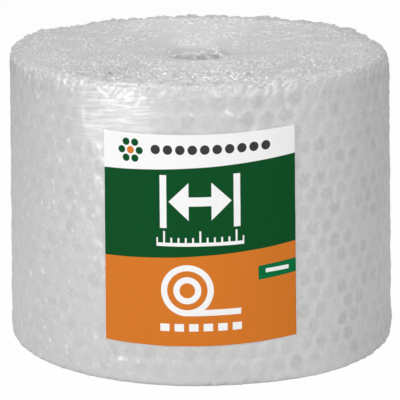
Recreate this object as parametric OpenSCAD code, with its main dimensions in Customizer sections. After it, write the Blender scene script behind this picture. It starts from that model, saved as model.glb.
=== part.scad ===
// A roll of air bubble film, standing on its end, with a printed paper label on its wall.
// The origin is at the middle of the end that the roll stands on, +Z runs up the hole,
// and the label faces -Y. All sizes are in millimetres unless a comment says otherwise.

/* [Film] */
// Width of the film, which is the height of the standing roll
film_width = 300; // [260:5:400]
// Length of the film wound on the roll, in metres
film_length = 50; // [35:1:60]
// Distance between the middles of neighbouring air bubbles in a row
bubble_pitch = 19; // [17:0.5:30]
// How far the middle of a bubble stands out above the seams around it
bubble_rise = 1.1; // [0.6:0.1:2]

/* [Roll] */
// Greatest diameter of the roll at its top end
roll_d = 391; // [340:1:440]
// How far the turns spread at the foot, measured on the radius
foot_spread = 6; // [0:0.5:8]
// Diameter of the hole that the film was wound around
hole_d = 54; // [40:1:76]
// Where the outer end of the film lies, as an angle from +X towards +Y
tail_angle = 50; // [20:1:80]
// How far the turns around the hole have sunk below the rim, at the top end
dish_depth = 7; // [2:0.5:9]
// Width of the slope where the top turns dip into the hole
mouth_w = 8; // [4:1:14]
// Height of that slope
mouth_h = 4; // [2:0.5:5]
// Size of the worn corner around the top end
top_corner = 5; // [3:0.5:7]
// Size of the worn corner around the foot
foot_corner = 8; // [4:0.5:9]
// Share of a turn's thickness that is gap between its film and the next, at an end
gap_share = 0.42; // [0.25:0.01:0.6]
// Depth of that gap at the top end
top_gap_depth = 3; // [1.5:0.5:5]
// Depth of that gap at the foot, where the roll's weight has closed the turns up
foot_gap_depth = 1.2; // [0.8:0.2:3]

/* [Label] */
// Width of the label, measured round the roll
label_w = 193; // [120:1:210]
// Height of the label
label_h = 210; // [150:1:214]
// Height of the label's lower edge above the foot
label_z = 43.5; // [20:0.5:44]
// Thickness of the label's paper
label_t = 0.4; // [0.2:0.1:0.8]
// Air left between the bubbles and the back of the paper
label_gap = 0.1; // [0.05:0.05:0.3]
// Thickness of one layer of print
print_t = 0.1; // [0.1:0.05:0.2]
// How far one field is printed over the edge of the next
overprint = 1; // [0.5:0.1:2]
// Plain paper left around the printed fields
paper_edge = 1.2; // [0.5:0.1:3]
// Height of the plain header at the label's left edge
header_left = 37; // [30:1:50]
// Height of the plain header at the label's right edge
header_right = 27.5; // [20:0.5:50]
// Height of the upper field of colour
upper_field_h = 87; // [60:1:90]
// Width of the small flag at the right edge of the lower field
flag_w = 40; // [20:1:60]
// Height of that flag
flag_h = 14; // [8:1:20]
// How far the flag's upper edge lies below the upper field
flag_drop = 17; // [10:1:24]

/* [Hidden] */
$fn = 96;

metre = 1000;
hole_r = hole_d / 2;
outer_r = roll_d / 2;

// The film's length divided by the mean way round gives the number of turns
turns = round(film_length * metre / (PI * (outer_r + hole_r)));
turn_t = (outer_r - bubble_rise - hole_r) / turns;
gap_w = gap_share * turn_t;

// The outermost turn lies on this radius, and its own thickness closes the roll
wall_r = outer_r - bubble_rise - turn_t;
foot_r = wall_r + foot_spread;
// Turns inside this one are cut away by the hole
first_turn = -2;
last_top_turn = turns - 2;
last_foot_turn = floor((foot_r - hole_r) / turn_t - 0.6);

// Rows of bubbles are laid like bricks, with whole columns round the wall
rim_margin = 1;
bubble_zone = film_width - top_corner - foot_corner - 2 * rim_margin;
columns = round(2 * PI * wall_r / bubble_pitch);
half_column = 180 / columns;
rows = round(bubble_zone / (bubble_pitch * sin(60)) - 1 / 3);
row_pitch = bubble_zone / (rows + 1 / 3);
seam_step = row_pitch / 3;
first_row_z = foot_corner + rim_margin + 2 * seam_step;

// How far the outermost turn reaches in over the turn below at its two rims
tuck = 6;
tuck_h = 3;

// How far a rounded edge of size c has dropped at a distance d from its side
function edge_drop(d, c) = d >= c ? 0 : c - sqrt(c * c - pow(c - max(d, 0), 2));
function dish_drop(r) = dish_depth * pow((wall_r - r) / (wall_r - hole_r), 2);
function mouth_drop(r) = mouth_h * pow(max(0, 1 - max(0, r - hole_r) / mouth_w), 2);

// Height of the turns' edges at the top end and at the foot, at a distance r from the axis
function top_z(r) = film_width - dish_drop(r) - mouth_drop(r) - edge_drop(wall_r - r, top_corner);
function foot_z(r) = mouth_drop(r) / 2 + edge_drop(foot_r - r, foot_corner);

// Radius that the outermost turn lies on, at a height z
function wall_at(z) = foot_r + (wall_r - foot_r) * z / film_width;
// How far that turn has wound out at an angle from +X
function wound_out(angle) = turn_t * ((angle - tail_angle + 720) % 360) / 360;

// Turns of film seen on edge: a flat-topped ridge for each film, with a narrow gap inside it
function turn_r(k) = hole_r + k * turn_t;
function top_point(r) = [r, top_z(r)];
function foot_point(r) = [r, foot_z(r)];
top_edges = [for (k = [last_top_turn : -1 : first_turn]) each [
    top_point(turn_r(k + 1) - gap_w / 2),
    top_point(turn_r(k) + gap_w / 2),
    top_point(turn_r(k)) - [0, top_gap_depth]
]];
foot_edges = [for (k = [first_turn : last_foot_turn])
    let (outside = k == last_foot_turn ? foot_r : turn_r(k + 1))
    each [
        foot_point(turn_r(k)) + [0, foot_gap_depth],
        foot_point(turn_r(k) + gap_w / 2),
        foot_point(outside - gap_w / 2)
    ]
];

module inner_turns() {
    rotate_extrude()
        polygon(concat(
            foot_edges,
            [[foot_r, foot_corner], [wall_r, film_width - top_corner]],
            top_edges
        ));
}

// The outermost turn is a net of points in rings. Each ring is [height, radius, shift], where
// the shift is its first point's place in half columns. The rings of a row of bubbles are the
// low tips of its seams, the low sides and the raised middles. The row above gives the rest.
function seam_ring(z, shift) = [z, wall_at(z), shift % 2];
function bubble_rings(i) =
    let (z = first_row_z + i * row_pitch)
    [
        seam_ring(z - 2 * seam_step, i),
        seam_ring(z - seam_step, i + 1),
        [z, wall_at(z) + bubble_rise, i % 2]
    ];
top_row_z = first_row_z + (rows - 1) * row_pitch;
foot_rings = [[foot_corner - tuck_h, foot_r - tuck, 0], seam_ring(foot_corner, 0)];
rings = concat(
    foot_rings,
    [for (i = [0 : rows - 1]) each bubble_rings(i)],
    [
        seam_ring(top_row_z + seam_step, rows),
        seam_ring(top_row_z + 2 * seam_step, rows - 1),
        seam_ring(film_width - top_corner, rows - 1),
        [film_width - top_corner + tuck_h, wall_r - tuck, (rows - 1) % 2]
    ]
);
last_ring = len(rings) - 1;
first_middles = len(foot_rings) + 2;

function ring_point(ring, h) =
    let (angle = tail_angle + h * half_column, r = ring[1] + turn_t * h / (2 * columns))
    [r * cos(angle), r * sin(angle), ring[0]];
// Number of the point of ring n that lies h half columns on from the film's outer end
function at(n, h) = n * columns + floor(((h + 2 * columns) % (2 * columns)) / 2);

// The six seam corners around the bubble whose middle is in ring n
function seam_corners(n, h) = [
    at(n + 1, h - 1), at(n + 2, h), at(n + 1, h + 1),
    at(n - 1, h + 1), at(n - 2, h), at(n - 1, h - 1)
];
function bubble_faces(n, h) =
    let (corners = seam_corners(n, h))
    [for (i = [0 : 5]) [at(n, h), corners[i], corners[(i + 1) % 6]]];
// Two faces that join a point pair of a lower ring to the pair above it
function strip_faces(low, high, h, shift) = [
    [at(low, h), at(high, h + shift), at(high, h + shift + 2)],
    [at(low, h), at(high, h + shift + 2), at(low, h + 2)]
];
// Faces that close the zigzag of seams against the plain ring below it, or above it
function foot_zigzag(h) = [
    [at(1, h), at(3, h + 1), at(1, h + 2)],
    [at(1, h), at(2, h), at(3, h + 1)],
    [at(1, h + 2), at(3, h + 1), at(2, h + 2)]
];
function top_zigzag(n, h) = [
    [at(n, h), at(n, h + 2), at(n - 2, h + 1)],
    [at(n, h), at(n - 2, h + 1), at(n - 1, h)],
    [at(n, h + 2), at(n - 1, h + 2), at(n - 2, h + 1)]
];

module outermost_turn() {
    top_shift = (rows - 1) % 2;
    polyhedron(
        points = [for (ring = rings) for (c = [0 : columns - 1]) ring_point(ring, 2 * c + ring[2])],
        faces = [for (c = [0 : columns - 1]) each concat(
            [for (i = [0 : rows - 1]) each bubble_faces(first_middles + 3 * i, 2 * c + i % 2)],
            strip_faces(0, 1, 2 * c, 0),
            foot_zigzag(2 * c),
            top_zigzag(last_ring - 1, 2 * c + top_shift),
            strip_faces(last_ring - 1, last_ring, 2 * c + top_shift, 0),
            strip_faces(last_ring, 0, 2 * c + top_shift, -top_shift)
        )]
    );
}

module bubble_film_roll() {
    color("gainsboro")
        difference() {
            union() {
                inner_turns();
                outermost_turn();
            }
            translate([0, 0, -hole_r])
                cylinder(r = hole_r, h = film_width + hole_d);
        }
}

// The label lies on the bubbles of the finished roll, and its width is measured there
label_r = wall_at(label_z + label_h / 2) + turn_t + bubble_rise;
label_half_angle = label_w / label_r * 90 / PI;
label_top = label_z + label_h;
// Its back rests on the bubbles at the side where the film has wound out furthest
seat_rise = wound_out(-90 + label_half_angle) + bubble_rise + label_gap;

// A curved plate on the label's place, from one depth to another, left plain at its edges
module label_plate(inside, outside, margin) {
    half = label_half_angle * (1 - 2 * margin / label_w);
    low = label_z + margin;
    high = label_top - margin;
    rotate_extrude(angle = 2 * half, start = -90 - half)
        translate([seat_rise, 0])
            polygon([
                [wall_at(low) + inside, low],
                [wall_at(low) + outside, low],
                [wall_at(high) + outside, high],
                [wall_at(high) + inside, high]
            ]);
}

// Print is seen from the front, and each layer of it stands out from what it is printed on
module printed(layer) {
    intersection() {
        label_plate(label_t / (1 + layer), label_t + layer * print_t, paper_edge);
        rotate([90, 0, 0])
            linear_extrude(roll_d)
                children();
    }
}

// Edges of the fields slant up to the right: a height at the label's left and at its right
half_w = label_w / 2;
header_edge = [label_top - header_left, label_top - header_right];
field_edge = [header_edge[0] - upper_field_h, header_edge[1] - upper_field_h];
// The lower field runs on under the upper one, so that no paper shows between the two
under_edge = [field_edge[0] + overprint, field_edge[1] + overprint];
function edge_at(edge, x) = edge[0] + (edge[1] - edge[0]) * (x + half_w) / label_w;

module slanted_field(high, low, left, right) {
    polygon([
        [left, edge_at(low, left)],
        [right, edge_at(low, right)],
        [right, edge_at(high, right)],
        [left, edge_at(high, left)]
    ]);
}

module upper_field() {
    slanted_field(header_edge, field_edge, -half_w, half_w);
}

module flag() {
    high = [field_edge[0] - flag_drop, field_edge[1] - flag_drop];
    low = [high[0] - flag_h, high[1] - flag_h];
    slanted_field(high, low, half_w - flag_w, half_w);
}

module lower_field() {
    slanted_field(under_edge, [label_z, label_z], -half_w, half_w);
}

module label() {
    color("white")
        label_plate(0, label_t, 0);
    color("peru")
        printed(1) lower_field();
    color("darkgreen")
        printed(2) upper_field();
    color("seagreen")
        printed(2) flag();
}

bubble_film_roll();
label();
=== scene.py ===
import math

import bpy
import numpy as np
from mathutils import Matrix, Vector


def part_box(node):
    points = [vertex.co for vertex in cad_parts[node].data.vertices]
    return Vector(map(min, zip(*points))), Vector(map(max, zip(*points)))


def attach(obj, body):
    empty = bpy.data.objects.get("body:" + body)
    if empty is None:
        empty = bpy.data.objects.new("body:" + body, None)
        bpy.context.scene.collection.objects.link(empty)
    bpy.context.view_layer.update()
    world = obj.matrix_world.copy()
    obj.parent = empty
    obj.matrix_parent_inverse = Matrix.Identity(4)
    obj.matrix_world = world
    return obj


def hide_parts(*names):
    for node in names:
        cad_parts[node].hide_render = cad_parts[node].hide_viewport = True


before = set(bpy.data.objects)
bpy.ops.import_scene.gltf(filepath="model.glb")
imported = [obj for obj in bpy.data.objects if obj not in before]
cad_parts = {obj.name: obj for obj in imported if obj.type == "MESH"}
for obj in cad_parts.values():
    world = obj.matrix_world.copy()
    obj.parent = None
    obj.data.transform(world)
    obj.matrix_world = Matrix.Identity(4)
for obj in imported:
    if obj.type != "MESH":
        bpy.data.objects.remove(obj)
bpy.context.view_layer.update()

# The roll's driving sizes, in metres. Its height comes from the frame.
ROLL_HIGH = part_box("bubble_film_roll")[1]
FILM_WIDTH = round(ROLL_HIGH.z, 3)
FILM_LENGTH = 50.0
ROLL_RADIUS = 0.1955
HOLE_RADIUS = 0.027
FOOT_SPREAD = 0.006
BUBBLE_PITCH = 0.019
BUBBLE_RISE = 0.0011
TAIL_ANGLE = math.radians(50)
DISH_DEPTH = 0.007
MOUTH_WIDTH, MOUTH_HEIGHT = 0.008, 0.004
TOP_CORNER, FOOT_CORNER = 0.005, 0.008
RIM_MARGIN = 0.001
# Depth of the gaps between the turns, at the two ends
TOP_GAP, FOOT_GAP = 0.0022, 0.0012
# The outermost turn's upper edge laps in this far over the top end, and sinks this far
LAP_WIDTH, LAP_DEPTH = 0.014, 0.0020
# The end of the roll that has been handled sinks this far under that lap
UNDER_LAP = 0.0024
# The film's inner end hangs this far into the hole, between these angles
LOOSE_REACH = 0.007
LOOSE_START, LOOSE_END = math.radians(98), math.radians(176)

# The bands of the wall that the rim and the foot take up
RIM_BAND, FOOT_BAND = 0.028, 0.02
# How far the film is uneven, in metres: slack and folds on the wall, bulges and frills of
# the rim as they stand out and up, longer swells of the rim, and a bulge of the foot
SLACK, FOLD = 0.0003, 0.0004
BULGE_OUT, BULGE_UP = 0.0012, 0.0014
FRILL_OUT, FRILL_UP = 0.0006, 0.0004
SWELL_UP = 0.0007
FOOT_BULGE = 0.0014
# The rim stands high at the far left and low at the far right, and is drawn in at the right
SHOULDER_HIGH, SHOULDER_LOW, RIM_PULL = 0.0034, 0.0030, 0.0036
FOOT_FILLED = 0.85

# The label's driving sizes, in metres
LABEL_WIDTH, LABEL_HEIGHT, LABEL_FOOT = 0.193, 0.210, 0.0435
LABEL_MIDDLE = LABEL_FOOT + LABEL_HEIGHT / 2
HEADER_LEFT, HEADER_RIGHT = 0.037, 0.0275
UPPER_FIELD = 0.087
FLAG_WIDTH, FLAG_HEIGHT, FLAG_DROP = 0.040, 0.014, 0.017
LABEL_GAP = 0.0001
PAPER = 0.0005
PAPER_EDGE = 0.0004
# Its edges climb a little to the right, and bow up at both sides
LABEL_CLIMB = math.tan(math.radians(0.87))
LABEL_BOW, LABEL_SAG = 0.0029, 0.00015

# Turns of film, and the rows and columns that its bubbles lie in
TURNS = round(FILM_LENGTH / (math.pi * (ROLL_RADIUS + HOLE_RADIUS)))
TURN = (ROLL_RADIUS - BUBBLE_RISE - HOLE_RADIUS) / TURNS
WALL_RADIUS = ROLL_RADIUS - BUBBLE_RISE - TURN
FOOT_RADIUS = WALL_RADIUS + FOOT_SPREAD
BUBBLE_ZONE = FILM_WIDTH - TOP_CORNER - FOOT_CORNER - 2 * RIM_MARGIN
COLUMNS = round(2 * math.pi * WALL_RADIUS / BUBBLE_PITCH)
ROWS = round(BUBBLE_ZONE / (BUBBLE_PITCH * math.sin(math.pi / 3)) - 1 / 3)
ROW_PITCH = BUBBLE_ZONE / (ROWS + 1 / 3)
FIRST_ROW = FOOT_CORNER + RIM_MARGIN + 2 / 3 * ROW_PITCH

TAU = 2 * math.pi
chance = np.random.RandomState(50)


# Shapes

def smooth(low, high, x):
    """0 where x is below low and 1 above high, with a soft slope between."""
    t = np.clip((x - low) / (high - low), 0, 1)
    return t * t * (3 - 2 * t)


def ripples(seed, *axes, count=24):
    """Soft noise of about -1 to 1, as a sum of waves. An axis is (values, shortest wave,
    longest wave). Where the values go round the roll, from 0 to 1, the waves close there."""
    waves = np.random.RandomState(seed)
    total = 0
    for _ in range(count):
        phase = waves.uniform(0, TAU)
        for values, shortest, longest in axes:
            rate = waves.uniform(1 / longest, 1 / shortest) * waves.choice((-1, 1))
            phase = phase + TAU * values * (round(rate) if longest <= 1 else rate)
        total = total + np.sin(phase)
    return total / math.sqrt(count)


def creases(*args, **kwargs):
    """Noise of 0 to 1 with sharp ridges, as in crumpled film."""
    return np.clip(1 - 1.6 * np.abs(ripples(*args, **kwargs)), 0, 1)


def seen_aside(angle):
    """An angle round the roll from the middle of the label, which grows to the right."""
    return (angle + math.pi / 2 + math.pi) % TAU - math.pi


def stretch(aside, middle, reach):
    """1 in the middle of a stretch round the roll, falling softly to 0 at its reach."""
    return smooth(reach, 0, np.abs(aside - middle))


def wall_at(z):
    return FOOT_RADIUS + (WALL_RADIUS - FOOT_RADIUS) * z / FILM_WIDTH


def rim_stand(radius, angle):
    """How far the rim stands above its even height at the far left, and below it at the far
    right."""
    aside = seen_aside(angle)
    high = SHOULDER_HIGH * stretch(aside, -1.95, 0.38)
    low = SHOULDER_LOW * stretch(aside, 1.84, 0.42)
    return (high - low) * smooth(0.150, 0.186, radius)


def rim_pull(angle):
    """How far the rim is drawn in at the right, where its corner is rounder."""
    return RIM_PULL * stretch(seen_aside(angle), 1.66, 0.50)


def foot_fullness(angle):
    """The share of the foot's worn corner that is filled out, most at the front right."""
    aside = seen_aside(angle)
    return FOOT_FILLED * smooth(0.15, 0.75, aside) * smooth(1.75, 1.40, aside)


def edge_drop(distance, size):
    """How far a rounded edge has dropped at a distance from its side."""
    near = np.clip(distance, 0, size)
    return size - np.sqrt(size ** 2 - (size - near) ** 2)


def mouth_drop(radius):
    """How far the turns slope down into the hole's mouth, as a share of its height."""
    return np.clip(1 - (radius - HOLE_RADIUS) / MOUTH_WIDTH, 0, 1) ** 2


def top_height(radius, angle):
    sunk = DISH_DEPTH * ((WALL_RADIUS - radius) / (WALL_RADIUS - HOLE_RADIUS)) ** 2
    corner = edge_drop(WALL_RADIUS + TURN - radius, TOP_CORNER)
    even = FILM_WIDTH - sunk - MOUTH_HEIGHT * mouth_drop(radius) - corner
    return even + rim_stand(radius, angle)


def foot_height(radius, angle):
    corner = edge_drop(FOOT_RADIUS - radius, FOOT_CORNER) * (1 - foot_fullness(angle))
    return MOUTH_HEIGHT / 2 * mouth_drop(radius) + corner


def round_points(radius, angle, height):
    radius, angle, height = np.broadcast_arrays(radius, angle, height)
    return np.stack([radius * np.cos(angle), radius * np.sin(angle), height], axis=-1)


def with_end(grid):
    """A grid with its last column a second time."""
    return np.concatenate([grid, grid[:, -1:]], axis=1)


def sheet_faces(rows, columns, closed=False, onward=0):
    """Faces of a grid of points. A closed grid joins its last column to the first, which
    lies onward rows further up where the grid is a spiral."""
    steps = columns if closed else columns - 1
    row, column = np.meshgrid(np.arange(rows - 1 - onward), np.arange(steps), indexing="ij")
    ahead = row + np.where(column == columns - 1, onward, 0)
    side = (column + 1) % columns
    return np.stack([
        row * columns + column,
        ahead * columns + side,
        (ahead + 1) * columns + side,
        (row + 1) * columns + column,
    ], axis=-1).reshape(-1, 4)


def as_floats(values):
    return values.astype(np.float32).reshape(-1)


def sheet_piece(name, points, faces, flat=None, **masks):
    """A piece made of a grid of points, with the place of each on the flat film or paper."""
    mesh = bpy.data.meshes.new(name)
    mesh.from_pydata(points.reshape(-1, 3).tolist(), [], faces.tolist())
    if flat is not None:
        layer = mesh.uv_layers.new(name="flat")
        layer.data.foreach_set("uv", as_floats(flat.reshape(-1, 2)[faces.reshape(-1)]))
    for title, values in masks.items():
        mask = mesh.attributes.new(title, "FLOAT", "POINT")
        mask.data.foreach_set("value", as_floats(np.broadcast_to(values, points.shape[:2])))
    mesh.polygons.foreach_set("use_smooth", np.ones(len(faces), bool))
    mesh.update()
    piece = bpy.data.objects.new(name, mesh)
    bpy.context.collection.objects.link(piece)
    return piece


# Bubbles of the outermost turn. No two are filled alike or sit quite in line.
BUBBLE_FILL = chance.uniform(0.5, 1.05, (ROWS, COLUMNS))
BUBBLE_TONE = chance.uniform(0.15, 1.0, (ROWS, COLUMNS))
BUBBLE_SLIP = chance.uniform(-0.0008, 0.0008, (2, ROWS, COLUMNS))
BUBBLE_TILT = chance.uniform(-0.12, 0.12, (2, ROWS, COLUMNS))
BUBBLE_REACH = BUBBLE_PITCH / 2


def nearest_bubble(turned, z):
    """For points that lie turned on from the film's outer end: how far each is from the
    middle of its bubble, across and up, and that bubble's number."""
    warp, lift = (
        0.0012 * ripples(seed, (turned / TAU, 0.006, 0.03), (z, 0.007, 0.03))
        for seed in (31, 32)
    )
    distance = np.full(turned.shape, 1.0)
    across, up = np.zeros(turned.shape), np.zeros(turned.shape)
    number = np.zeros(turned.shape, int)
    nearest = np.round((z - FIRST_ROW) / ROW_PITCH).astype(int)
    for shift in (-1, 0, 1):
        row = np.clip(nearest + shift, 0, ROWS - 1)
        place = turned / TAU * COLUMNS - (row % 2) / 2
        column = np.round(place).astype(int)
        slip = BUBBLE_SLIP[:, row, column % COLUMNS]
        aside = (place - column) * TAU * WALL_RADIUS / COLUMNS + slip[0] + warp
        above = z - FIRST_ROW - row * ROW_PITCH + slip[1] + lift
        apart = np.hypot(aside, above)
        closer = apart < distance
        distance = np.where(closer, apart, distance)
        across, up = np.where(closer, aside, across), np.where(closer, above, up)
        number = np.where(closer, row * COLUMNS + column % COLUMNS, number)
    return distance, across, up, number


def bubble_relief(turned, z):
    """How far the film stands out at points that lie turned on from the film's outer end,
    and a mask of the bubbles that show through it."""
    distance, across, up, number = nearest_bubble(*np.broadcast_arrays(turned, z))
    fill, tone = BUBBLE_FILL.reshape(-1)[number], BUBBLE_TONE.reshape(-1)[number]
    lean = BUBBLE_TILT.reshape(2, -1)[:, number]
    pad = 1 - smooth(0.0052, BUBBLE_REACH, distance)
    crown = 1 - (distance / BUBBLE_REACH) ** 2
    slant = (lean[0] * across + lean[1] * up) / BUBBLE_REACH
    height = BUBBLE_RISE * fill * (0.6 * pad + 0.4 * crown + 3 * slant * pad)
    return height, tone * (1 - smooth(0.0048, 0.0088, distance))


def film_profile():
    """Heights of the outermost turn's rings, and how far each is set in from the wall."""
    straight = np.linspace(FOOT_CORNER, FILM_WIDTH - TOP_CORNER, 132)
    arc = np.linspace(0, math.pi / 2, 8)
    foot_arc, top_arc = arc[:0:-1], arc[1:]
    lap = np.linspace(0, 1, 7)[1:]
    z = np.concatenate([
        FOOT_CORNER * (1 - np.sin(foot_arc)),
        straight,
        FILM_WIDTH - TOP_CORNER + TOP_CORNER * np.sin(top_arc),
        FILM_WIDTH - LAP_DEPTH * lap ** 2,
    ])
    inset = np.concatenate([
        FOOT_CORNER * (1 - np.cos(foot_arc)),
        0 * straight,
        TOP_CORNER * (1 - np.cos(top_arc)),
        TOP_CORNER + LAP_WIDTH * lap,
    ])
    return z[:, None], inset[:, None]


def wall_masks(aside, z, rim):
    """Where the wall's film differs, by its place beside the label."""
    high_up = smooth(0.225, 0.262, z)
    return {
        # Stretched film that shines in streaks, partly painted as pale highlight streaks in its
        # colour
        "sheen": smooth(-0.72, -0.52, aside) * smooth(-0.14, -0.30, aside) * high_up,
        # Film drawn taut on the left, with flatter bubbles and more painted glints and soft
        # painted highlights
        "tight_and_glints": np.clip(0.5 - 0.9 * np.sin(aside + 0.3), 0, 1),
        "rim": rim,
        # Rim with less gloss and its colour painted darker as shade, less so at the front
        "dull_and_shaded": smooth(0.75, 1, rim) * (1 - 0.8 * smooth(0.1, 0.8, np.cos(aside))),
        # The right half of the rim, which bulges and shines less
        "calm": smooth(0.1, 0.6, rim) * smooth(-0.28, -0.02, aside),
        # Paler film just right of the label: painted light from the front
        "painted_light_right": smooth(0.1, 0.5, aside) * smooth(1.1, 0.6, aside),
    }


def outer_film():
    """The outermost turn: the wall with its bubbles, from the worn foot to the worn rim. Its
    upper edge laps in over the top end and sinks between the turns there."""
    turned = np.linspace(0, TAU, 621)
    share, angle = turned / TAU, turned + TAIL_ANGLE
    z, inset = film_profile()
    rim, foot = smooth(RIM_BAND, 0, FILM_WIDTH - z), smooth(FOOT_BAND, 0, z)
    masks = wall_masks(seen_aside(angle), z, rim)
    relief, bubble = bubble_relief(turned, z)
    relief = relief * (1 - 0.45 * masks["tight_and_glints"]) * (1 - 0.85 * masks["sheen"])
    bubble = bubble * (1 - 0.45 * masks["tight_and_glints"]) * (1 - masks["sheen"])
    slack = SLACK * ripples(3, (share, 0.03, 0.3), (z, 0.03, 0.2))
    folds = FOLD * creases(6, (share, 0.012, 0.06), (z, 0.004, 0.03), count=14)
    # The rim bulges at each bubble and is pinched between them
    uneven = 1.5 * ripples(4, (share, 0.05, 0.3))
    pinched = np.abs(np.sin(math.pi * share * COLUMNS + uneven))
    scallop = (pinched - 0.4) * (1 + 0.5 * ripples(8, (share, 0.02, 0.1)))
    crumpled = creases(9, (share, 0.005, 0.03), (inset + z, 0.006, 0.03), count=14) - 0.5
    frill = ripples(5, (share, 0.005, 0.02), (inset + z, 0.006, 0.02)) + 1.2 * crumpled
    # Stretches of the rim stand a little higher than others
    swell = ripples(10, (share, 0.022, 0.08), count=12)
    full = foot_fullness(angle)
    radius = wall_at(z) - inset * (1 - full * (z < FOOT_CORNER)) + FOOT_BULGE * full * foot
    radius = radius - rim_pull(angle) * rim ** 2
    radius = radius + TURN * share + relief + slack + folds * (0.3 + rim)
    edges = rim * (1 - 0.35 * masks["calm"]) + 0.5 * foot
    radius = radius + (BULGE_OUT * scallop + FRILL_OUT * frill) * edges
    height = z + (BULGE_UP * scallop + SWELL_UP * swell) * rim ** 2
    height = height + FRILL_UP * frill * rim ** 3 + rim_stand(radius, angle) * rim
    points = round_points(radius, angle, height)
    # The film's cut end turns in against the turn below
    turned_in = 1 - TURN / WALL_RADIUS
    points = with_end(points)
    points[:, -1, :2] *= turned_in
    around = np.append(turned, TAU + 0.001) * WALL_RADIUS
    up = z + np.where(z > FILM_WIDTH / 2, inset, -inset)
    flat = np.stack(np.broadcast_arrays(around, up), axis=-1)
    masks = {
        title: with_end(np.broadcast_to(mask, radius.shape))
        for title, mask in {"bubble": bubble, **masks}.items()
    }
    return sheet_piece("outer_film", points, sheet_faces(*points.shape[:2]), flat, **masks)


def handling_and_light(angle, radius):
    """How much the turns' edges are worn and crumpled: most at the front and less at the back.
    The same share paints their colour lighter at the front, as painted light.
    """
    front, side = -np.sin(angle), np.abs(np.cos(angle))
    worn_and_lit_front = 0.15 + 0.85 * smooth(-0.6, 0.5, front)
    worn_and_lit_sides = 0.5 * smooth(0.55, 0.95, side)
    calm_sides = 1 - 0.45 * smooth(0.45, 0.9, side)
    outward = 0.35 + 0.65 * smooth(0.05, 0.15, radius)
    return np.maximum(worn_and_lit_front * calm_sides, worn_and_lit_sides) * outward


def turn_edges(name, profile, columns, height_at, gap_depth, turns, wear, facing):
    """The film's edge at one end of the roll, as a strip that winds out from the hole. The
    profile gives, for points across one turn, their place and how deep they lie in the gap."""
    turned = np.arange(columns) / columns
    turn = np.arange(turns)[:, None, None]
    place, gap = np.array(profile).T[:, None, :, None]
    along = turn + place + turned
    spot = turn + turned
    radius = HOLE_RADIUS + TURN * along
    angle = turned * TAU + TAIL_ANGLE
    handled_and_lit = wear * handling_and_light(angle, radius)
    sway = ripples(11, (spot, 0.015, 1.3), (turn * 1.0, 2.3, 9), count=30)
    swell = ripples(12, (spot, 0.02, 1.4), (turn * 1.0, 3, 11), count=30)
    crumple = creases(13, (spot, 0.006, 1.05), (turn * 1.0, 1.7, 6), count=16)
    rough = np.random.RandomState(14).normal(0, 1, along.shape)
    film = 1 - gap
    radius = radius + TURN * film * (0.26 * sway + 0.08 * rough) * handled_and_lit
    radius = radius - wear * rim_pull(angle) * smooth(0.165, 0.192, radius)
    under_lap = UNDER_LAP * wear * smooth(WALL_RADIUS - 0.016, WALL_RADIUS - 0.006, radius)
    height = height_at(radius, angle) - gap_depth * gap * (1 + 0.3 * sway * wear) - under_lap
    bumps = 0.0012 * swell + 0.0024 * (crumple - 0.5) + 0.0003 * rough
    height = height + film * handled_and_lit * bumps

    def in_rows(values):
        return np.broadcast_to(values, along.shape).reshape(-1, columns)

    points = round_points(in_rows(radius), angle, in_rows(height))
    faces = sheet_faces(len(points), columns, closed=True, onward=len(profile))[:, ::facing]
    # Painted light: the film's tops are painted lighter, most where crumpled at the front
    shine = in_rows(film) * (0.35 + 0.65 * in_rows(crumple * handled_and_lit))
    # Painted shade: the colour darkens towards the hole's mouth
    mouth = in_rows(smooth(0.040, HOLE_RADIUS, radius))
    masks = {"film": in_rows(film), "crumple": np.clip(shine, 0, 1), "mouth": mouth}
    return sheet_piece(name, points, faces, **masks)


def top_end():
    return turn_edges(
        "top_end", profile=((0, 1), (0.3, 0.1), (0.5, 0), (0.72, 0.12)), columns=340,
        height_at=top_height, gap_depth=TOP_GAP, turns=TURNS, wear=1, facing=1,
    )


def foot_end():
    return turn_edges(
        "foot_end", profile=((0, 1), (0.2, 0), (0.8, 0)), columns=200,
        height_at=foot_height, gap_depth=-FOOT_GAP, turns=TURNS + int(FOOT_SPREAD / TURN),
        wear=0, facing=-1,
    )


def hole_lining():
    """The innermost turn, with the film's loose inner end inside it and its lip over the
    mouth."""
    angle = np.linspace(LOOSE_START, LOOSE_END + TAU, 220)
    loose = smooth(LOOSE_END, LOOSE_START, angle)
    mouth_z = FILM_WIDTH - DISH_DEPTH - MOUTH_HEIGHT
    z = np.linspace(0.0022, mouth_z, 80)[:, None]
    bulge = 0.0004 * ripples(21, (angle, 0.5, 2), (z, 0.012, 0.05))
    radius = HOLE_RADIUS - LOOSE_REACH * loose + bulge + 0.0002
    # Points of the lip, as how far they lie outward and up
    lip = np.array([[0.0003, 0.0005], [0.0010, 0.0009], [0.0020, 0.0011], [0.0032, 0.0006]])
    wave = 0.0007 * ripples(22, (angle, 0.2, 1.5))
    rim_radius = radius[-1] + np.where(loose > 0, 0.25, 1) * lip[:, :1]
    rim_height = mouth_z + lip[:, 1:] + wave + 0.001 * loose
    lining = round_points(radius, angle, z)
    points = np.concatenate([lining, round_points(rim_radius, angle, rim_height)])
    faces = sheet_faces(*points.shape[:2])[:, ::-1]
    # Painted shade: the lining's colour darkens further down the hole
    brim = points[-1, :, 2].mean()
    dim = 1.5 * smooth(brim, brim - 0.014, points[..., 2])
    return sheet_piece("hole_lining", points, faces, film=1, crumple=0.3, mouth=dim)


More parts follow.
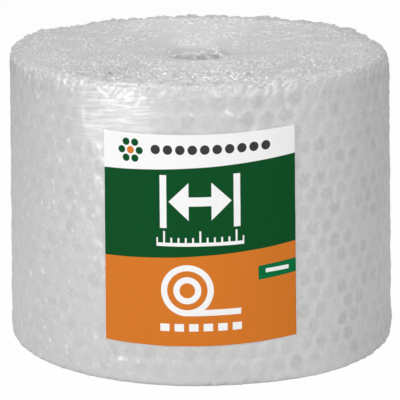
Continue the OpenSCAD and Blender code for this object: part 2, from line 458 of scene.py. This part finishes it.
def label_sheet():
    """The paper label. It bridges the bubbles, so they hardly show in it."""
    label_radius = wall_at(LABEL_MIDDLE) + TURN + BUBBLE_RISE
    half = LABEL_WIDTH / label_radius / 2
    farthest = (-math.pi / 2 + half - TAIL_ANGLE) % TAU
    seat = TURN * farthest / TAU + BUBBLE_RISE + LABEL_GAP
    across = np.linspace(-half, half, 120) * label_radius
    up = np.linspace(-LABEL_HEIGHT / 2, LABEL_HEIGHT / 2, 130)
    # The first and last rows close the paper's lower and upper edges
    up = np.concatenate([up[:1], up, up[-1:]])[:, None]
    spread = np.full(up.shape, PAPER / 2)
    spread[0] = spread[-1] = 0
    aside = across / label_radius
    angle = aside - math.pi / 2
    bow = LABEL_BOW * (2 * across / LABEL_WIDTH) ** 2 - LABEL_SAG
    z = LABEL_MIDDLE + up + across * LABEL_CLIMB + bow
    relief = bubble_relief((angle - TAIL_ANGLE) % TAU, z)[0]
    wave = 0.00012 * ripples(41, (aside, 0.15, 0.6), (z, 0.03, 0.12))
    middle = wall_at(z) + seat + 0.1 * (relief - BUBBLE_RISE) + wave + PAPER / 2
    rear = round_points(middle - spread, angle, z)
    face = round_points(middle + spread, angle, z)
    points = np.concatenate([face, rear[:, ::-1], face[:, :1]], axis=1)
    around = np.concatenate([across, across[::-1], across[:1]])
    flat = np.stack(np.broadcast_arrays(around, LABEL_MIDDLE + up), axis=-1)
    return sheet_piece("label_sheet", points, sheet_faces(*points.shape[:2]), flat)


# Finishes

class Value:
    """A socket in a finish, which takes arithmetic as a number does."""

    def __init__(self, finish, socket):
        self.finish, self.socket = finish, socket

    def maths(self, operation, *terms):
        return self.finish.node("ShaderNodeMath", {"operation": operation}, terms)

    def __add__(self, other):
        return self.maths("ADD", self, other)

    def __sub__(self, other):
        return self.maths("SUBTRACT", self, other)

    def __rsub__(self, other):
        return self.maths("SUBTRACT", other, self)

    def __mul__(self, other):
        return self.maths("MULTIPLY", self, other)

    def __abs__(self):
        return self.maths("ABSOLUTE", self)

    __radd__ = __add__

    def at_least(self, other):
        return self.maths("MAXIMUM", self, other)

    def at_most(self, other):
        return self.maths("MINIMUM", self, other)

    def root(self):
        return self.maths("SQRT", self)

    def off_mark(self, pitch):
        """The distance to the nearest of marks that lie a pitch apart."""
        return self.maths("PINGPONG", self, pitch / 2)

    def step(self, low, high):
        """0 where this is below low and 1 above high, with a smooth slope between."""
        ends = {"Value": self, "From Min": low, "From Max": high}
        return self.finish.node("ShaderNodeMapRange", {"interpolation_type": "SMOOTHSTEP"}, ends)

    def beside(self, output):
        """Another output of the node that gives this one."""
        return Value(self.finish, self.socket.node.outputs[output])


class Finish:
    """The nodes of a material, or of the light from all round."""

    def __init__(self, owner):
        self.owner = owner
        owner.use_nodes = True
        self.tree = owner.node_tree
        self.tree.nodes.clear()

    def node(self, kind, settings=None, inputs=None, output=0):
        made = self.tree.nodes.new(kind)
        for key, setting in (settings or {}).items():
            setattr(made, key, setting)
        pairs = inputs.items() if isinstance(inputs, dict) else enumerate(inputs or ())
        for key, given in pairs:
            if isinstance(given, Value):
                self.tree.links.new(given.socket, made.inputs[key])
            else:
                made.inputs[key].default_value = given
        return Value(self, made.outputs[output]) if len(made.outputs) else None

    def mix(self, share, first, second):
        inputs = {0: share, 6: first, 7: second}
        return self.node("ShaderNodeMix", {"data_type": "RGBA"}, inputs, output=2)

    def mix_shaders(self, share, first, second):
        return self.node("ShaderNodeMixShader", None, (share, first, second))

    def mask(self, title):
        return self.node("ShaderNodeAttribute", {"attribute_name": title}, output=2)

    def flat_place(self):
        """The point's place on the film or paper when it is laid flat, in metres."""
        return self.node("ShaderNodeUVMap", {"uv_map": "flat"})

    def place(self):
        """The point's place on the piece as it stands, in metres."""
        return self.node("ShaderNodeTexCoord", output="Object")

    def part(self, vector, axis):
        return self.node("ShaderNodeSeparateXYZ", None, (vector,), output=axis)

    def laid(self, vector, size, lean=0.0):
        """A place counted in features of this size, in metres, that lean by this angle."""
        inputs = {"Vector": vector, "Rotation": (0, 0, math.radians(lean)), "Scale": (*size, 1)}
        return self.node("ShaderNodeMapping", {"vector_type": "TEXTURE"}, inputs)

    def noise(self, where, scale, detail=2.0, roughness=0.5, distortion=0.0):
        inputs = {
            "Vector": where, "Scale": scale, "Detail": detail,
            "Roughness": roughness, "Distortion": distortion,
        }
        return self.node("ShaderNodeTexNoise", None, inputs)

    def spots(self, where, low, high):
        """Dots strewn about, one to each unit of a place, and each of its own strength."""
        distance = self.node("ShaderNodeTexVoronoi", None, {"Vector": where, "Scale": 1.0})
        strength = self.part(distance.beside("Color"), "X")
        return distance.step(high, low) * strength.step(0.2, 1.0)

    def bump(self, height, distance, strength=1.0):
        inputs = {"Height": height, "Distance": distance, "Strength": strength}
        return self.node("ShaderNodeBump", None, inputs)

    def surface(self, **inputs):
        named = {key.replace("_", " "): given for key, given in inputs.items()}
        return self.closed_by(self.node("ShaderNodeBsdfPrincipled", None, named))

    def closed_by(self, shader, kind="ShaderNodeOutputMaterial"):
        self.node(kind, None, {"Surface": shader})
        return self.owner


def new_material(name):
    return Finish(bpy.data.materials.new(name))


def grey(level):
    return (level, level, level, 1)


def joined(first, *others):
    """The strongest of several masks."""
    for other in others:
        first = first.at_least(other)
    return first


def wall_film():
    """Clear film over many others: milky, with the bubbles as darker discs behind its gloss."""
    film = new_material("wall_film")
    where = film.flat_place()
    bubble, sheen, tight_and_glints, rim, dull_and_shaded, calm, painted_light_right = (
        film.mask(title) for title in ("bubble", "sheen", "tight_and_glints", "rim", "dull_and_shaded", "calm", "painted_light_right")
    )
    cloud = film.noise(where, 9, 3)
    mottle = film.noise(where, 210, 4, 0.6)
    discs = bubble * (0.2 + cloud * 0.9) * (0.4 + mottle * 1.1)
    shade = (discs + (mottle - 0.5) * 0.8).at_least(0).at_most(1)
    # Painted light: the film is paler just right of the label; the bubble discs are darker
    milky = film.mix(shade, film.mix(painted_light_right, grey(0.60), grey(0.66)), grey(0.455))
    # Painted shade: the rim's colour is darker at the sides and back
    milky = film.mix(dull_and_shaded * 0.6, milky, grey(0.44))
    # Painted sparkles: small pale marks in the colour, more on the rim
    slanted = film.noise(film.laid(where, (0.006, 0.0024)), 1, 4, 0.6, 0.8)
    strewn = film.noise(where, 55, 2)
    painted_sparkle = slanted.step(0.58, 0.72) * strewn.step(0.42, 0.6) * (0.45 + rim * 0.55)
    # Painted sparkles: pale flecks on the rim
    painted_light_fleck = film.noise(where, 260, 3, 0.6).step(0.52, 0.64) * rim.step(0.5, 1)
    # Painted glints: pale dots in the colour where the film is drawn taut
    painted_glint = film.spots(film.laid(where, (0.010, 0.013), 30), 0.10, 0.28) * tight_and_glints
    # Painted soft highlights: faint pale marks where the film is drawn taut
    soft_glint_noise = film.noise(film.laid(where, (0.006, 0.010), 25), 1, 3, 0.55, 0.9)
    painted_soft_glint = soft_glint_noise.step(0.55, 0.74) * tight_and_glints
    striped = film.noise(film.laid(where, (0.035, 0.0032), 3), 1, 3, 0.55, 0.4)
    # Painted highlight: pale streaks in the colour where the film shines
    painted_streak = striped.step(0.42, 0.62) * sheen
    # Painted highlights: all the pale marks above, mixed into the colour as light the film catches
    painted_highlight = joined(joined(painted_sparkle, painted_light_fleck, painted_glint, painted_streak) * 0.6, painted_soft_glint * 0.45)
    wrinkled = film.noise(where, 150, 5, 0.62, 0.5)
    height = striped * (0.5 + sheen * 0.7) + wrinkled * 0.7
    return film.surface(
        Base_Color=film.mix(painted_highlight, milky, grey(0.93)), Roughness=0.4, IOR=1.5,
        Coat_Weight=(1 - dull_and_shaded * 0.8) * (1 - calm * 0.65) * (0.6 + tight_and_glints * 0.4),
        Coat_Roughness=0.15, Coat_IOR=1.8, Normal=film.bump(height, 0.0012, 0.6),
    )


def cut_film(name, glow):
    """The cut edges of the turns: milky where the film stands up, with painted shade down in
    the gaps. A glow stands for the light that comes through many turns of clear film."""
    film = new_material(name)
    where = film.place()
    edge, crumple, mouth = film.mask("film"), film.mask("crumple"), film.mask("mouth")
    mottle = film.noise(where, 110, 4, 0.6)
    # Painted shade: greyer down in the gaps between the turns
    colour = film.mix((edge * 0.7 + mottle * 0.4).at_most(1), grey(0.46), grey(0.64))
    # Painted light: lighter where the film stands up, most at the crumpled front
    colour = film.mix(crumple * 0.22, colour, grey(0.74))
    # Painted shade towards the hole's mouth and down the hole
    colour = film.mix(mouth * 0.45, colour, grey(0.40))
    # Painted sparkles and painted shade: pale and dark flecks in patches, most at the front
    patch = film.noise(where, 42, 3, 0.6).step(0.40, 0.56) * crumple
    painted_light_fleck = film.noise(where, 240, 3, 0.6)
    colour = film.mix((painted_light_fleck.step(0.47, 0.34) * patch).at_most(1), colour, grey(0.36))
    colour = film.mix((painted_light_fleck.step(0.50, 0.60) * patch * 2.2).at_most(1), colour, grey(0.95))
    wrinkled = film.noise(where, 260, 4, 0.6)
    return film.surface(
        Base_Color=colour, Roughness=0.36, IOR=1.45, Coat_Weight=0.6, Coat_Roughness=0.16,
        Emission_Color=colour, Emission_Strength=glow, Normal=film.bump(wrinkled, 0.0012, 0.6),
    )


# The two tones of each ink, which the paper's fibres vary between
UPPER_INK = ((0.0032, 0.068, 0.016, 1), (0.0042, 0.078, 0.0195, 1))
LOWER_INK = ((0.63, 0.178, 0.021, 1), (0.68, 0.195, 0.025, 1))
FLAG_INK = (0.0016, 0.155, 0.046, 1)
# Heights of the middle of the two large signs on the label
WIDTH_SIGN, ROLL_SIGN = 0.188, 0.100
# The middle and the size of the seven discs in the header
CLUSTER_X, CLUSTER_Z, CLUSTER_PITCH, DISC_RADIUS = -0.0680, 0.2365, 0.0090, 0.0036
# The row of dots in the header: its ends, its height, and the size of its dots
DOTS_LEFT, DOTS_RIGHT, DOTS_Z, DOT_PITCH, DOT_RADIUS = -0.049, 0.071, 0.2385, 0.012, 0.0046
# Half the width of the slope from ink to paper at an edge of print
CRISP = 0.00015


def inside(distance):
    """1 where a distance into a shape is above 0, with a crisp edge."""
    return distance.step(-CRISP, CRISP)


def between(value, low, high):
    return inside(value - low) * inside(high - value)


def bar(x, z, left, right, low, high):
    return between(x, left, right) * between(z, low, high)


def away(across, up):
    return (across * across + up * up).root()


def width_sign(x, z):
    """An arrow with two heads between two posts, and a rule with a longer tick at each fifth."""
    apart, over = abs(x), abs(z - WIDTH_SIGN)
    posts = between(apart, 0.0325, 0.0390) * inside(0.026 - over)
    heads = inside(apart - 0.011) * inside((0.0305 - apart) * 0.95 - over)
    shaft = inside(0.012 - apart) * inside(0.0045 - over)
    half, foot, tick, pitch = 0.0425, 0.1440, 0.0009, 0.007
    rule = bar(x, z, -half, half, foot, 0.1475)
    ticks = inside(tick - x.off_mark(pitch)) * bar(x, z, -half, half, foot, 0.1525)
    fifths = inside(tick - x.off_mark(5 * pitch)) * bar(x, z, -half, half, foot, 0.1590)
    return joined(posts, heads, shaft, rule, ticks, fifths)


def roll_sign(x, z):
    """A roll seen from its end, the film that comes off it, and a row of dashes under it."""
    half_line = 0.003
    around = away(x + 0.013, z - ROLL_SIGN)
    outer_ring, inner_ring = (
        inside(half_line - abs(around - size)) for size in (0.0225, 0.0105)
    )
    run_off = bar(x, z, -0.013, 0.0390, ROLL_SIGN - 0.0255, ROLL_SIGN - 0.0195)
    half_dash, pitch = 0.0045, 0.014
    dashes = inside(half_dash - (x - pitch / 2).off_mark(pitch))
    dashes = dashes * bar(x, z, -0.041, 0.041, 0.0590, 0.0665)
    return joined(outer_ring, inner_ring, run_off, dashes)


def label_print():
    """White paper with two slanted fields of colour, a small flag and plain signs: a width
    over a rule, a roll with film that comes off it, a bar, a few bubbles and a row of dots."""
    paper = new_material("label_print")
    place = paper.flat_place()
    x, z = paper.part(place, "X"), paper.part(place, "Y")
    rise = (HEADER_LEFT - HEADER_RIGHT) / LABEL_WIDTH
    header_foot = LABEL_FOOT + LABEL_HEIGHT - (HEADER_LEFT + HEADER_RIGHT) / 2
    below_header = header_foot - z + x * rise
    half = LABEL_WIDTH / 2 - PAPER_EDGE
    printed = inside(half - abs(x)) * inside(LABEL_HEIGHT / 2 - PAPER_EDGE - abs(z - LABEL_MIDDLE))
    flag_top = UPPER_FIELD + FLAG_DROP
    flag = inside(x - (LABEL_WIDTH / 2 - FLAG_WIDTH))
    flag = flag * between(below_header, flag_top, flag_top + FLAG_HEIGHT)
    fibre = paper.noise(place, 900, 3)
    white = paper.mix(fibre, grey(0.88), grey(0.92))
    green, orange = paper.mix(fibre, *UPPER_INK), paper.mix(fibre, *LOWER_INK)
    colour = paper.mix(inside(below_header) * printed, white, green)
    colour = paper.mix(inside(below_header - UPPER_FIELD) * printed, colour, orange)
    colour = paper.mix(flag * printed, colour, FLAG_INK)
    flag_bar = bar(x, z, 0.064, 0.088, 0.1125, 0.1165)
    colour = paper.mix(joined(width_sign(x, z), roll_sign(x, z), flag_bar), colour, white)
    # A piece of bubble film in the header: one disc in the middle and six round it
    for number in range(7):
        turn, reach = math.radians(60 * number), CLUSTER_PITCH * min(number, 1)
        disc_x, disc_z = CLUSTER_X + reach * math.cos(turn), CLUSTER_Z + reach * math.sin(turn)
        disc = inside(DISC_RADIUS - away(x - disc_x, z - disc_z))
        colour = paper.mix(disc, colour, UPPER_INK[1] if number else LOWER_INK[1])
    off_dot = (x - (DOTS_LEFT + DOT_PITCH / 2)).off_mark(DOT_PITCH)
    dots = inside(DOT_RADIUS - away(off_dot, z - DOTS_Z)) * between(x, DOTS_LEFT, DOTS_RIGHT)
    colour = paper.mix(dots, colour, grey(0.045))
    return paper.surface(
        Base_Color=colour, Roughness=0.6, Specular_IOR_Level=0.04,
        Normal=paper.bump(fibre, 0.00005),
    )


def dress(piece, finish, node):
    piece.data.materials.append(finish)
    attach(piece, "root")
    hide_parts(node)


film, cut = wall_film(), cut_film("cut_film", 0.02)
dress(outer_film(), film, "bubble_film_roll")
dress(top_end(), cut, "bubble_film_roll")
dress(foot_end(), cut, "bubble_film_roll")
dress(hole_lining(), cut_film("lining_film", 0.12), "bubble_film_roll")
dress(label_sheet(), label_print(), "label")


# The room

def pale_floor():
    """White where the camera sees it. Under the roll, and so down its hole, it is only as
    bright as its light."""
    half = 8
    corners = [(-half, -half, 0), (half, -half, 0), (half, half, 0), (-half, half, 0)]
    mesh = bpy.data.meshes.new("floor")
    mesh.from_pydata(corners, [], [(0, 1, 2, 3)])
    ground = bpy.data.objects.new("floor", mesh)
    bpy.context.collection.objects.link(ground)
    pale = new_material("pale_floor")
    lit = pale.node("ShaderNodeBsdfDiffuse", None, {"Color": grey(0.9)})
    white = pale.node("ShaderNodeEmission", None, {"Color": grey(1), "Strength": 1.0})
    length = {"operation": "LENGTH"}
    from_axis = pale.node("ShaderNodeVectorMath", length, {0: pale.place()}, output="Value")
    seen = pale.node("ShaderNodeLightPath", output="Is Camera Ray")
    share = seen * from_axis.step(0.10, 0.16) * 0.97
    ground.data.materials.append(pale.closed_by(pale.mix_shaders(share, lit, white)))


def softbox(name, azimuth, distance, height, aim, size, watts):
    """A soft lamp. Its azimuth is 0 in front of the label and grows towards the right."""
    lamp = bpy.data.lights.new(name, "AREA")
    lamp.shape = "RECTANGLE"
    lamp.size, lamp.size_y = size
    lamp.energy = watts
    holder = bpy.data.objects.new(name, lamp)
    turn = math.radians(azimuth)
    holder.location = (distance * math.sin(turn), -distance * math.cos(turn), height)
    aimed = Vector((0, 0, aim)) - holder.location
    holder.rotation_euler = aimed.to_track_quat("-Z", "Y").to_euler()
    holder.visible_camera = False
    bpy.context.collection.objects.link(holder)


def surroundings(level):
    """Soft light from all round. What is seen or mirrored of it is plain white."""
    around = Finish(bpy.data.worlds.new("surroundings"))
    seen = around.node("ShaderNodeLightPath", output="Is Camera Ray")
    plain = joined(seen.beside("Is Glossy Ray"), seen.beside("Is Transmission Ray"), seen)
    soft = around.node("ShaderNodeBackground", None, {"Color": grey(1), "Strength": level})
    white = around.node("ShaderNodeBackground", None, {"Color": grey(1), "Strength": 1.0})
    shader = around.mix_shaders(plain, soft, white)
    bpy.context.scene.world = around.closed_by(shader, "ShaderNodeOutputWorld")


def camera(back, height, pitch, roll, focal, picture):
    """Stands in front of the label and looks down on the top end, as the photograph does.
    Its focal length and the picture's width are in pixels."""
    lens = bpy.data.cameras.new("camera")
    lens.sensor_width = 36
    lens.lens = focal / picture * lens.sensor_width
    eye = bpy.data.objects.new("camera", lens)
    tilt, lean = math.radians(pitch), math.radians(roll)
    forward = Vector((0, math.cos(tilt), -math.sin(tilt)))
    level = Vector((1, 0, 0))
    over = level.cross(forward)
    right = level * math.cos(lean) + over * math.sin(lean)
    up = over * math.cos(lean) - level * math.sin(lean)
    turn = Matrix((right, up, -forward)).transposed().to_4x4()
    eye.matrix_world = Matrix.Translation((0, -back, height)) @ turn
    bpy.context.collection.objects.link(eye)
    bpy.context.scene.camera = eye


pale_floor()
softbox("key_light", -44, 2.15, height=0.82, aim=0.2, size=(0.8, 1.6), watts=12.5)
softbox("low_light", -46, 1.12, height=0.17, aim=0.2, size=(0.62, 0.30), watts=0.75)
softbox("fill_light", 18, 2.9, height=1.3, aim=0.2, size=(2.0, 1.4), watts=31)
softbox("top_light", 0, 0.01, height=2.2, aim=0, size=(1.6, 1.6), watts=14)
surroundings(0.30)
camera(back=2.275, height=0.734, pitch=14.68, roll=-0.50, focal=2250, picture=400)
bpy.context.scene.view_settings.view_transform = "Standard"
